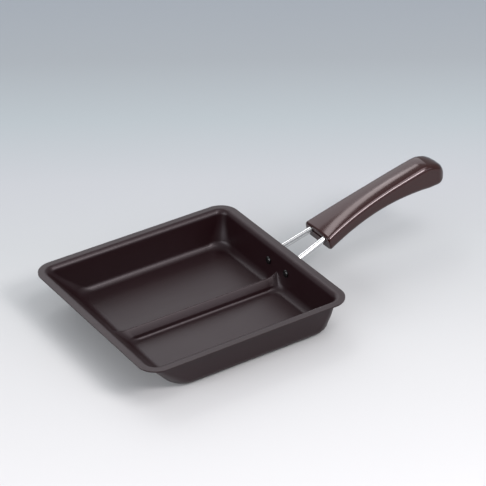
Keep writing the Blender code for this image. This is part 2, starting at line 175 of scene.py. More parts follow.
# a round cutter from one point to another
def roundCutter(name, start, end, radius, sides):
    bm = bmesh.new()
    rings = []
    turned = (end - start).to_track_quat("Z", "Y")
    for point in (start, end):
        ring = []
        for i in range(sides):
            turn = 2 * math.pi * i / sides
            out = Vector((math.cos(turn) * radius, math.sin(turn) * radius, 0))
            ring.append(bm.verts.new(point + turned @ out))
        rings.append(ring)
    for i in range(sides):
        j = (i + 1) % sides
        bm.faces.new((rings[0][i], rings[0][j], rings[1][j], rings[1][i]))
    bm.faces.new(list(reversed(rings[0])))
    bm.faces.new(rings[1])
    return addPiece(name, meshFrom(bm, name))


def cutAway(piece, cutters):
    for cutter in cutters:
        modifier = piece.modifiers.new("cut", "BOOLEAN")
        modifier.operation = "DIFFERENCE"
        modifier.solver = "EXACT"
        modifier.object = cutter
    settleMesh(piece)
    for cutter in cutters:
        bpy.data.objects.remove(cutter)


# lets a finish's colour and roughness drift together over patches of this size
def addPatches(tree, shader, size, detail, colours, roughness):
    place = addNode(tree, "ShaderNodeTexCoord").outputs["Object"]
    patches = addNode(tree, "ShaderNodeTexNoise", {
        "Vector": place, "Scale": 1 / size, "Detail": detail})
    colour = addNode(tree, "ShaderNodeMix", {
        "Factor": patches.outputs["Fac"],
        6: linear(colours[0]),
        7: linear(colours[1]),
    }, data_type="RGBA")
    tree.links.new(colour.outputs[2], shader.inputs["Base Color"])
    rough = addNode(tree, "ShaderNodeMapRange", {
        "Value": patches.outputs["Fac"], "To Min": roughness[0], "To Max": roughness[1]})
    tree.links.new(rough.outputs[0], shader.inputs["Roughness"])


# gives a finish shallow hollows of this size
def addHollows(tree, shader, size, detail, depth, strength):
    place = addNode(tree, "ShaderNodeTexCoord").outputs["Object"]
    hollows = addNode(tree, "ShaderNodeTexNoise", {
        "Vector": place, "Scale": 1 / size, "Detail": detail})
    bump = addNode(tree, "ShaderNodeBump", {
        "Height": hollows.outputs["Fac"], "Strength": strength, "Distance": depth})
    tree.links.new(bump.outputs[0], shader.inputs["Normal"])


# soft non-stick coat, sprayed on pressed steel and baked: a satin dark brown that goes
# pale at a low angle, with a faint cloudiness and the coat's fine orange peel
def makeCoat():
    material, tree, shader = newMaterial("sprayedNonStickCoat", {
        "IOR": 1.45,
        "Metallic": 0.0,
        "Specular Tint": linear("#fff6fb"),
    })
    cloudSize = 0.035  # sprayed coats vary over a few centimetres
    peelSize = 0.0016  # really 0.3 mm, drawn coarser so that it shows
    addPatches(tree, shader, cloudSize, detail=3.0,
               colours=("#1a080b", "#1e0a0e"), roughness=(0.36, 0.42))
    addHollows(tree, shader, peelSize, detail=1.0, depth=0.0002, strength=0.06)
    return material


# phenolic resin, compression moulded and polished by its mould: a clear gloss over deep
# brown, with the slight unevenness that moulded faces show in their reflections
def makePhenolic():
    material, tree, shader = newMaterial("mouldedPhenolic", {
        "IOR": 1.55,
        "Metallic": 0.0,
        "Specular Tint": linear("#fff0f4"),
    })
    flowSize = 0.022  # flow marks of the resin
    sinkSize = 0.009  # where the thick resin shrank
    addPatches(tree, shader, flowSize, detail=4.0,
               colours=("#270c08", "#2b0f0b"), roughness=(0.11, 0.15))
    addHollows(tree, shader, sinkSize, detail=0.0, depth=0.0003, strength=0.05)
    return material


# bright chrome on drawn steel wire: a mirror with fine lines left along the wire
def makeChrome():
    material, tree, shader = newMaterial("chromedWire", {
        "Metallic": 1.0,
        "Base Color": linear("#cecfd0"),
    })
    place = addNode(tree, "ShaderNodeTexCoord").outputs["Object"]
    lineWidth = 0.0009  # really 0.05 mm, drawn coarser so that the lines show
    lineLength = 0.04
    stretched = addNode(tree, "ShaderNodeMapping", {
        "Vector": place,
        "Scale": (1 / lineLength, 1 / lineWidth, 1 / lineWidth),
    })
    lines = addNode(tree, "ShaderNodeTexNoise", {
        "Vector": stretched.outputs[0], "Scale": 1.0, "Detail": 2.0})
    rough = addNode(tree, "ShaderNodeMapRange", {
        "Value": lines.outputs["Fac"],
        "To Min": 0.09,
        "To Max": 0.11,
    })
    tree.links.new(rough.outputs[0], shader.inputs["Roughness"])
    return material


# black gloss paint baked on the rivets: nearly no colour, one small sharp highlight
def makeRivetPaint():
    material, tree, shader = newMaterial("bakedBlackPaint", {
        "IOR": 1.5,
        "Base Color": linear("#0c0b0b"),
    })
    place = addNode(tree, "ShaderNodeTexCoord").outputs["Object"]
    speckSize = 0.0007  # the fine peel of baked paint
    speck = addNode(tree, "ShaderNodeTexNoise", {"Vector": place, "Scale": 1 / speckSize})
    rough = addNode(tree, "ShaderNodeMapRange", {
        "Value": speck.outputs["Fac"],
        "To Min": 0.13,
        "To Max": 0.21,
    })
    tree.links.new(rough.outputs[0], shader.inputs["Roughness"])
    return material


# zinc plate on pressed steel: a dull grey-green metal with soft patches
def makeZinc():
    material, tree, shader = newMaterial("zincPlate", {"Metallic": 1.0})
    patchSize = 0.004  # the plate's own soft patches
    addPatches(tree, shader, patchSize, detail=3.0,
               colours=("#a3a7a0", "#b4b7b2"), roughness=(0.28, 0.45))
    return material


coat = makeCoat()
phenolic = makePhenolic()
chrome = makeChrome()
rivetPaint = makeRivetPaint()
zinc = makeZinc()
print("materials made")


# the tray's sizes, in metres: a pressed sheet, open at the top
tray = {
    "length": trayHigh.x - trayLow.x,
    "width": trayHigh.y - trayLow.y,
    "height": trayHigh.z,
    "sheet": 0.0012,
    "flange": 0.0044,
    "bend": 0.0050,
    "lean": math.radians(6),
    "fillet": 0.0065,
    "pourLean": math.radians(40),
    "pourFillet": 0.010,
    "rimCorner": 0.0167,
    "floorCorner": 0.0150,
    "cornerOpening": 1.4,  # powers that say where on the way down they open
    "pocketOpening": 0.6,
    "edgeRound": 0.0005,
    "ridgeHeight": 0.0098,
    # from the crest down: each arc's radius and the slope in degrees that it ends at
    "ridgeArcs": ((0.0011, 56), (0.067, 61), (0.0040, 76)),
    "ridgeFoot": 0.0028,
    "ridgeRise": 0.0035,
    "pocketCorner": 0.0095,
}
# how finely it is made, and where its edges count as edges
traySteps = {
    "corner": 24,
    "pocket": 16,
    "bend": 12,
    "wall": 14,
    "ridge": 8,
    "fillet": 22,
    "leastGap": 0.00003,
    "seam": 0.00001,
    "edge": 3,
    "edgeDegrees": 80,
    "sharpDegrees": 50,
}


# how far inside the rim the inner face lies at height z
def wallInset(z, lean, fillet):
    bend = tray["bend"]
    bendLow = tray["height"] - bend * (1 - math.sin(lean))
    bendEnd = tray["flange"] + bend * math.cos(lean)
    if z >= bendLow:
        drop = min(1 - (tray["height"] - z) / bend, 1)
        return tray["flange"] + bend * math.sin(math.acos(drop))
    filletTop = tray["sheet"] + fillet * (1 - math.sin(lean))
    if z >= filletTop:
        return bendEnd + (bendLow - z) * math.tan(lean)
    foot = bendEnd + (bendLow - filletTop) * math.tan(lean) + fillet * math.cos(lean)
    return foot - math.sqrt(max(fillet**2 - (tray["sheet"] + fillet - z) ** 2, 0))


def handleWall(z):
    return tray["length"] / 2 - wallInset(z, tray["lean"], tray["fillet"])


def pourWall(z):
    return tray["length"] / 2 - wallInset(z, tray["pourLean"], tray["pourFillet"])


def sideWall(z):
    return tray["width"] / 2 - wallInset(z, tray["lean"], tray["fillet"])


# the ridge's section from its crest to the floor, as (half width, drop) points
def makeRidgeProfile():
    points = [(0.0, 0.0)]
    steps = traySteps["ridge"]
    turned = 0.0
    for radius, degrees in tray["ridgeArcs"]:
        half, drop = points[-1]
        for i in range(1, steps + 1):
            turn = turned + (math.radians(degrees) - turned) * i / steps
            points.append((
                half + radius * (math.sin(turn) - math.sin(turned)),
                drop + radius * (math.cos(turned) - math.cos(turn))))
        turned = math.radians(degrees)
    foot = tray["ridgeFoot"]
    half, drop = points[-1]
    footDrop = tray["ridgeHeight"] - foot * (1 - math.cos(turned))
    half += (footDrop - drop) / math.tan(turned)
    points.append((half, footDrop))
    for i in range(1, steps + 1):
        turn = turned * (1 - i / steps)
        points.append((
            half + foot * (math.sin(turned) - math.sin(turn)),
            footDrop + foot * (math.cos(turn) - math.cos(turned))))
    return points


ridgeProfile = makeRidgeProfile()


def ridgeHalfWidth(z):
    drop = tray["sheet"] + tray["ridgeHeight"] - z
    for (half, high), (nextHalf, low) in zip(ridgeProfile, ridgeProfile[1:]):
        if drop <= low:
            return half + (nextHalf - half) * (drop - high) / (low - high)
    return ridgeProfile[-1][0]


# the corners are concentric with the rim as far as the bend, then open towards the floor
def cornerRadius(z):
    bendLow = tray["height"] - tray["bend"] * (1 - math.sin(tray["lean"]))
    if z >= bendLow:
        return tray["rimCorner"] - wallInset(z, tray["lean"], tray["fillet"])
    topCorner = tray["rimCorner"] - wallInset(bendLow, tray["lean"], tray["fillet"])
    share = (bendLow - z) / (bendLow - tray["sheet"])
    opened = (share * share * (3 - 2 * share)) ** tray["cornerOpening"]
    return topCorner + (tray["floorCorner"] - topCorner) * opened


# the path round a compartment's inner corner, as (distance from the wall, y, climb):
# square and climbing the wall at the crest, where split is 0, and round at the floor
def pocketPath(ridge, split):
    steps = traySteps["pocket"]
    path = []
    for j in range(2 * steps + 1):
        along = j / steps
        turn = math.pi / 4 * along
        off = (1 - split) * max(along - 1, 0) + split * (1 - math.cos(turn))
        aside = (1 - split) * max(1 - along, 0) + split * (1 - math.sin(turn))
        climb = tray["ridgeRise"] * ((1 - split) * (1 - abs(along - 1))) ** 2
        path.append((tray["pocketCorner"] * off, ridge + tray["pocketCorner"] * aside, climb))
    return path


# one ring of the tray's half at +Y; heightAt turns a point's climb into its height
def trayRing(path, heightAt, closed):
    atPour = [(-pourWall(heightAt(c)) + off, y, heightAt(c)) for off, y, c in path]
    atHandle = [(handleWall(heightAt(c)) - off, y, heightAt(c)) for off, y, c in path]
    wallCount = traySteps["pocket"] + 1  # the rest of the path runs along the ridge
    z = heightAt(0)
    radius = cornerRadius(z)
    side = sideWall(z)
    steps = traySteps["corner"]
    ring = list(reversed(atPour[:wallCount]))
    for i in range(steps + 1):
        turn = math.pi / 2 * i / steps
        x = -pourWall(z) + radius - radius * math.cos(turn)
        ring.append((x, side - radius + radius * math.sin(turn), z))
    for i in range(steps + 1):
        turn = math.pi / 2 * i / steps
        x = handleWall(z) - radius + radius * math.sin(turn)
        ring.append((x, side - radius + radius * math.cos(turn), z))
    ring += atHandle[:wallCount]
    if closed:
        ring += atHandle[wallCount:] + list(reversed(atPour[wallCount:]))
    return ring


# the rim's outer edge, with as many points as an open ring
def rimRing(path):
    halfLength, halfWidth, radius = tray["length"] / 2, tray["width"] / 2, tray["rimCorner"]
    wallPart = path[:traySteps["pocket"] + 1]
    steps = traySteps["corner"]
    quarter = [(halfLength, y) for _, y, _ in reversed(wallPart)]
    for i in range(steps + 1):
        turn = math.pi / 2 * i / steps
        across = radius * (1 - math.cos(turn))
        quarter.append((halfLength - across, halfWidth - radius + radius * math.sin(turn)))
    ring = [(-x, y, tray["height"]) for x, y in quarter]
    ring += [(x, y, tray["height"]) for x, y in reversed(quarter)]
    return ring


def trayHalf():
    sheet, height, bend = tray["sheet"], tray["height"], tray["bend"]
    crest = sheet + tray["ridgeHeight"]
    bendTurn = math.pi / 2 - tray["lean"]
    crestPath = pocketPath(0, 0)
    rows = [rimRing(crestPath)]
    for i in range(traySteps["bend"] + 1):
        z = height - bend * (1 - math.cos(bendTurn * i / traySteps["bend"]))
        rows.append(trayRing(crestPath, lambda climb: z, False))
    bendLow = z
    for i in range(1, traySteps["wall"]):
        share = i / traySteps["wall"]
        rows.append(trayRing(
            crestPath, lambda climb: bendLow + (crest + climb - bendLow) * share, False))
    openRows = len(rows)

    # heights at and below the crest, close together where a face bends
    filletHeights = []
    for i in range(traySteps["fillet"] + 1):
        turn = bendTurn * i / traySteps["fillet"]
        filletHeights.append(sheet + tray["fillet"] * (1 - math.cos(turn)))
    ridgeHeights = [crest - drop for _, drop in ridgeProfile[1:-1]]
    levels = [crest]
    for z in sorted(filletHeights + ridgeHeights, reverse=True):
        if z == sheet or levels[-1] - z > traySteps["leastGap"]:
            levels.append(z)
    for z in levels:
        split = ((crest - z) / tray["ridgeHeight"]) ** tray["pocketOpening"]
        rows.append(trayRing(pocketPath(ridgeHalfWidth(z), split), lambda climb: z + climb, True))

    bm = bmesh.new()
    made = [[bm.verts.new((x + trayCentre, y, z)) for x, y, z in row] for row in rows]
    for k, (high, low) in enumerate(zip(made, made[1:])):
        closed = k >= openRows
        count = len(high) if closed else len(high) - 1
        for i in range(count):
            j = (i + 1) % len(high)
            bm.faces.new((high[i], low[i], low[j], high[j]))
    bm.faces.new(list(reversed(made[-1])))
    bm.normal_update()
    bm.faces.ensure_lookup_table()
    if bm.faces[-1].normal.z < 0:
        bmesh.ops.reverse_faces(bm, faces=bm.faces)
    return meshFrom(bm, "tray")


# where the rivets and the rods go: the tray's holes need it too
rivet = {
    "spacing": 0.0256,
    "height": 0.0188,
    "shank": 0.0036,
    "head": 0.0068,
    "dome": 0.0017,
    "tail": 0.0060,
    "tailDome": 0.0014,
    "holeReach": 0.004,
}
rivetSteps = {"around": 48, "rings": 32, "hole": 32, "sharpDegrees": 35}
rod = {
    "diameter": 0.0052,
    "climb": math.radians(17.8),
    "toe": math.radians(4.9),
    "wallHeight": 0.0247,
    "bend": 0.0045,
    "innerEnd": 0.168,
    "tabWidth": 0.0086,
    "tabThickness": 0.0020,
    "tabBelow": 0.0045,
    "tabBlend": 0.005,
    "tabSquareness": 5.0,
    "tipFlat": 0.98,  # 1 ends the tab in a point, and this leaves a small flat
}
rodSteps = {"along": 0.0004, "around": 48, "bend": 24, "sharpDegrees": 35}
roundSquareness = 2.0  # a superellipse of this power is round
sweepScale = 0.001  # a section is swept this small, before its rule sets its points
wallOut = Vector((math.cos(tray["lean"]), 0, -math.sin(tray["lean"])))
wallUp = Vector((math.sin(tray["lean"]), 0, math.cos(tray["lean"])))


# where a rivet's axis meets the wall's outer face, side being 1 or -1
def rivetPoint(side):
    height = rivet["height"]
    inner = Vector((trayCentre + handleWall(height), side * rivet["spacing"] / 2, height))
    return inner + wallOut * tray["sheet"]


# a cutter for the hole that a rivet's shank passes
def rivetHole(side):
    middle, reach = rivetPoint(side), wallOut * rivet["holeReach"]
    radius = rivet["shank"] / 2 + clearance
    return roundCutter("rivetHole", middle - reach, middle + reach, radius, rivetSteps["hole"])


def tabMiddle(side):
    return rivetPoint(side) + wallOut * (clearance + rod["tabThickness"] / 2)


# where the rod's axis would meet the middle of its flat end
def rodCorner(side):
    middle = tabMiddle(side)
    return middle + wallUp * ((rod["wallHeight"] - middle.z) / wallUp.z)


# a point of the rod's axis, this far along X from that corner
def rodLine(side, distance):
    aside = -side * distance * math.tan(rod["toe"])
    return rodCorner(side) + Vector((distance, aside, distance * math.tan(rod["climb"])))


# the tray is one half sheet, mirrored, given its thickness and a rounded edge, and holed
body = addPiece("tray", trayHalf())
mirror = body.modifiers.new("other compartment", "MIRROR")
mirror.use_axis = (False, True, False)
mirror.use_mirror_merge = True
mirror.merge_threshold = traySteps["seam"]
shell = body.modifiers.new("sheet", "SOLIDIFY")
shell.thickness = tray["sheet"]
shell.offset = -1
shell.use_even_offset = True
edge = body.modifiers.new("rim edge", "BEVEL")
edge.width = tray["edgeRound"]
edge.segments = traySteps["edge"]
edge.limit_method = "ANGLE"
edge.angle_limit = math.radians(traySteps["edgeDegrees"])
settleMesh(body)
cutAway(body, [rivetHole(1), rivetHole(-1)])
shadeSmooth(body, traySteps["sharpDegrees"])
leadByArea(body)
body.data.materials.clear()
body.data.materials.append(coat)
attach(body, "root")
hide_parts("pan_body")
print("tray:", len(body.data.polygons), "faces")


# a rod is swept along its bent path by nodes, from its flat tab to its end in the handle
def rodTree(sizes):
    tree, known = newTree("sweep a rod with a flat tab", sizes)
    chain = addNode(tree, "GeometryNodeMeshLine", {"Count": 3, "Offset": (1, 0, 0)})
    spot = addNode(tree, "GeometryNodeIndexSwitch", data_type="VECTOR")
    spot.index_switch_items.new()
    tree.links.new(addNode(tree, "GeometryNodeInputIndex").outputs[0], spot.inputs["Index"])
    for i, key in enumerate(("tip", "corner", "innerEnd")):
        tree.links.new(known[key], spot.inputs[str(i)])
    bent = addNode(tree, "GeometryNodeSetPosition", {
        "Geometry": chain.outputs[0], "Position": spot.outputs[0]})
    path = addNode(tree, "GeometryNodeMeshToCurve", {"Mesh": bent.outputs[0]})
    rounded = addNode(tree, "GeometryNodeFilletCurve", {
        "Curve": path.outputs[0], "Count": rodSteps["bend"], "Radius": known["bend"],
    }, mode="POLY")
    rows = addNode(tree, "GeometryNodeResampleCurve", {
        "Curve": rounded.outputs[0], "Length": rodSteps["along"]}, mode="LENGTH")
    held = addNode(tree, "GeometryNodeCaptureAttribute", {"Geometry": rows.outputs[0]})
    held.capture_items.new("VECTOR", "centre")
    held.capture_items.new("VECTOR", "direction")
    held.capture_items.new("FLOAT", "along")
    position = addNode(tree, "GeometryNodeInputPosition")
    tangent = addNode(tree, "GeometryNodeInputTangent")
    distance = addNode(tree, "GeometryNodeSplineParameter")
    tree.links.new(position.outputs[0], held.inputs["centre"])
    tree.links.new(tangent.outputs[0], held.inputs["direction"])
    tree.links.new(distance.outputs["Length"], held.inputs["along"])
    circle = addNode(tree, "GeometryNodeCurvePrimitiveCircle", {
        "Resolution": rodSteps["around"], "Radius": 1.0})
    shape = addNode(tree, "GeometryNodeCaptureAttribute", {"Geometry": circle.outputs[0]})
    shape.capture_items.new("VECTOR", "outline")
    tree.links.new(position.outputs[0], shape.inputs["outline"])
    swept = addNode(tree, "GeometryNodeCurveToMesh", {
        "Curve": held.outputs[0],
        "Profile Curve": shape.outputs[0],
        "Scale": sweepScale,
        "Fill Caps": True,
    })
    parts = addNode(tree, "ShaderNodeSeparateXYZ", {0: shape.outputs["outline"]})
    known.update(
        centre=held.outputs["centre"],
        direction=held.outputs["direction"],
        along=held.outputs["along"],
        circleX=parts.outputs[0],
        circleY=parts.outputs[1])

    # from the flat tab to the round rod over the blend
    followRule(tree, known, [("blendEnd", "ADD", "blendStart", "blendRun")])
    for key, flat, plain in (
        ("halfWide", known["tabHalf"], known["radius"]),
        ("halfThick", known["tabHalfThick"], known["radius"]),
        ("squareness", known["tabSquareness"], roundSquareness),
    ):
        known[key] = addNode(tree, "ShaderNodeMapRange", {
            "Value": known["along"],
            "From Min": known["blendStart"],
            "From Max": known["blendEnd"],
            "To Min": flat,
            "To Max": plain,
        }, interpolation_type="SMOOTHSTEP").outputs[0]
    followRule(tree, known, [
        # the tab's end is a half circle
        ("tipPast", "DIVIDE", "along", "tabHalf"),
        ("tipLeft", "SUBTRACT", "tipFlat", "tipPast"),
        ("tipShare", "MAXIMUM", "tipLeft", 0.0),
        ("tipSquare", "MULTIPLY", "tipShare", "tipShare"),
        ("tipOpen", "SUBTRACT", 1.0, "tipSquare"),
        ("tipWidth", "SQRT", "tipOpen"),
        ("wide", "MULTIPLY", "halfWide", "tipWidth"),
        # a superellipse from the circle's own x and y
        ("power", "DIVIDE", roundSquareness, "squareness"),
        ("absX", "ABSOLUTE", "circleX"),
        ("powX", "POWER", "absX", "power"),
        ("signX", "SIGN", "circleX"),
        ("outX", "MULTIPLY", "powX", "signX"),
        ("absY", "ABSOLUTE", "circleY"),
        ("powY", "POWER", "absY", "power"),
        ("signY", "SIGN", "circleY"),
        ("outY", "MULTIPLY", "powY", "signY"),
        ("x", "MULTIPLY", "outX", "wide"),
        ("y", "MULTIPLY", "outY", "halfThick"),
        # level across the rod, square to its path
        ("lean", "vector DOT_PRODUCT", "direction", (0, 1, 0)),
        ("leaning", "vector SCALE", "direction", "lean"),
        ("levelled", "vector SUBTRACT", (0, 1, 0), "leaning"),
        ("across", "vector NORMALIZE", "levelled"),
        ("normal", "vector CROSS_PRODUCT", "direction", "across"),
        ("aside", "vector SCALE", "across", "x"),
        ("above", "vector SCALE", "normal", "y"),
        ("offset", "vector ADD", "aside", "above"),
        ("position", "vector ADD", "centre", "offset"),
    ])
    placed = addNode(tree, "GeometryNodeSetPosition", {
        "Geometry": swept.outputs[0], "Position": known["position"]})
    return endTree(tree, placed.outputs[0], chrome)


def rodSizes(side):
    corner = rodCorner(side)
    turn = wallUp.angle((rodLine(side, 1) - corner).normalized())
    tip = tabMiddle(side) - wallUp * rod["tabBelow"]
    return {
        "tip": tip[:],
        "corner": corner[:],
        "innerEnd": rodLine(side, rod["innerEnd"] + trayCentre - corner.x)[:],
        "bend": rod["bend"],
        "radius": rod["diameter"] / 2,
        "tabHalf": rod["tabWidth"] / 2,
        "tabHalfThick": rod["tabThickness"] / 2,
        "tabSquareness": rod["tabSquareness"],
        "tipFlat": rod["tipFlat"],
        "blendStart": (corner - tip).length - rod["bend"] * math.tan(turn / 2),
        "blendRun": rod["bend"] * turn + rod["tabBlend"],
    }


rodMaker = rodTree(rodSizes(1))
for side, name, node in ((1, "rodLeft", "rod_left"), (-1, "rodRight", "rod_right")):
    piece = growPiece(name, rodMaker, rodSizes(side))
    cutAway(piece, [rivetHole(side)])
    turnFacesOut(piece)
    shadeSmooth(piece, rodSteps["sharpDegrees"])
    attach(piece, "root")
    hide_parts(node)
print("rods swept")


# the rivets are one shape of a head, a shank and a tail, set on both points by nodes
def rivetTree(sizes):
    tree, known = newTree("set the rivets", sizes)
    sphere = addNode(tree, "GeometryNodeMeshUVSphere", {
        "Segments": rivetSteps["around"], "Rings": rivetSteps["rings"], "Radius": 1.0})
    position = addNode(tree, "GeometryNodeInputPosition")
    spot = addNode(tree, "ShaderNodeSeparateXYZ", {0: position.outputs[0]})
    known.update(x=spot.outputs[0], y=spot.outputs[1], z=spot.outputs[2])
    followRule(tree, known, [
        ("headX", "MULTIPLY", "x", "headRadius"),
        ("headY", "MULTIPLY", "y", "headRadius"),
        ("above", "MAXIMUM", "z", 0.0),
        ("headZ", "MULTIPLY_ADD", "above", "dome", "headLow"),
        ("tailX", "MULTIPLY", "x", "tailRadius"),
        ("tailY", "MULTIPLY", "y", "tailRadius"),
        ("below", "MINIMUM", "z", 0.0),
        ("tailZ", "MULTIPLY_ADD", "below", "tailDome", "tailTop"),
        ("shankLong", "SUBTRACT", "headLow", "tailTop"),
        ("shankSum", "ADD", "headLow", "tailTop"),
        ("shankMiddle", "MULTIPLY", "shankSum", 0.5),
        ("halfSpacing", "MULTIPLY", "spacing", -0.5),
    ])
    parts = []
    for end in ("head", "tail"):
        place = addNode(tree, "ShaderNodeCombineXYZ", {
            axis: known[end + axis] for axis in "XYZ"})
        parts.append(addNode(tree, "GeometryNodeSetPosition", {
            "Geometry": sphere.outputs[0], "Position": place.outputs[0]}))
    shank = addNode(tree, "GeometryNodeMeshCylinder", {
        "Vertices": rivetSteps["around"],
        "Radius": known["shankRadius"],
        "Depth": known["shankLong"],
    })
    lift = addNode(tree, "ShaderNodeCombineXYZ", {2: known["shankMiddle"]})
    parts.append(addNode(tree, "GeometryNodeSetPosition", {
        "Geometry": shank.outputs[0], "Offset": lift.outputs[0]}))
    whole = addNode(tree, "GeometryNodeJoinGeometry")
    for part in parts:
        tree.links.new(part.outputs[0], whole.inputs[0])
    first = addNode(tree, "ShaderNodeCombineXYZ", {1: known["halfSpacing"]})
    start = addNode(tree, "ShaderNodeVectorMath", {
        0: known["middle"], 1: first.outputs[0]}, operation="ADD")
    step = addNode(tree, "ShaderNodeCombineXYZ", {1: known["spacing"]})
    points = addNode(tree, "GeometryNodeMeshLine", {
        "Count": 2, "Start Location": start.outputs[0], "Offset": step.outputs[0]})
    turned = addNode(tree, "FunctionNodeEulerToRotation", {0: known["turn"]})
    copies = addNode(tree, "GeometryNodeInstanceOnPoints", {
        "Points": points.outputs[0],
        "Instance": whole.outputs[0],
        "Rotation": turned.outputs[0],
    })
    return endTree(tree, copies.outputs[0], rivetPaint)


rivetSizes = {
    "middle": ((rivetPoint(1) + rivetPoint(-1)) / 2)[:],
    "turn": (0.0, tray["lean"] - math.pi / 2, 0.0),
    "spacing": rivet["spacing"],
    "headRadius": rivet["head"] / 2,
    "dome": rivet["dome"],
    "headLow": tray["sheet"] + clearance,
    "tailRadius": rivet["tail"] / 2,
    "tailDome": rivet["tailDome"],
    "tailTop": -(rod["tabThickness"] + 2 * clearance),
    "shankRadius": rivet["shank"] / 2,
}
rivets = growPiece("rivets", rivetTree(rivetSizes), rivetSizes)
turnFacesOut(rivets)
shadeSmooth(rivets, rivetSteps["sharpDegrees"])
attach(rivets, "root")
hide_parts("rivet_left", "rivet_right")
print("rivets set")


# the handle's sizes: an arched moulding with a waist, a crowned top and a closed nose
grip = {
    "front": 0.1263,
    "frontHeight": 0.0349,
    "startAngle": math.radians(22.9),
    "arc": 0.355,
    "length": 0.1312,
    "faceAngle": math.radians(12),
    "faceRun": 0.022,
    "waist": 0.0242,
    "flare": 0.0120,
    "flareRun": 0.080,
    "frontDepth": 0.0142,
    "endDepth": 0.0238,
    "depthRun": 0.112,
    "depthPower": 3.1,
    "crown": 0.0014,
    "topRound": 0.0031,
    "noseRound": 0.0056,
    "roundRun": 0.070,
    "lowRound": 0.0042,
    "faceRound": 0.0018,
    "noseDrop": 0.0053,
    "noseRise": 0.0007,
    "noseTopRun": 0.0258,
    "noseLowRun": 0.0110,
    "noseSideRun": 0.0107,
    "roundLimit": 0.96,  # a rounding's largest share of half the section
    "leastHalf": 0.00001,  # keeps the nose's last row from a division by 0
}
gripSteps = {
    "rows": 220,
    "rounding": 10,
    "flatCuts": 11,
    "seam": 0.000002,
    "sharpDegrees": 35,
    "cutSharpDegrees": 40,
}
# a row's distance from the front, with rows close together at both ends
rowRule = [
    ("rowTurn", "MULTIPLY", "row", math.pi),
    ("rowCosine", "COSINE", "rowTurn"),
    ("rowShare", "MULTIPLY_ADD", "rowCosine", -0.5, 0.5),
    ("s", "MULTIPLY", "rowShare", "length"),
]
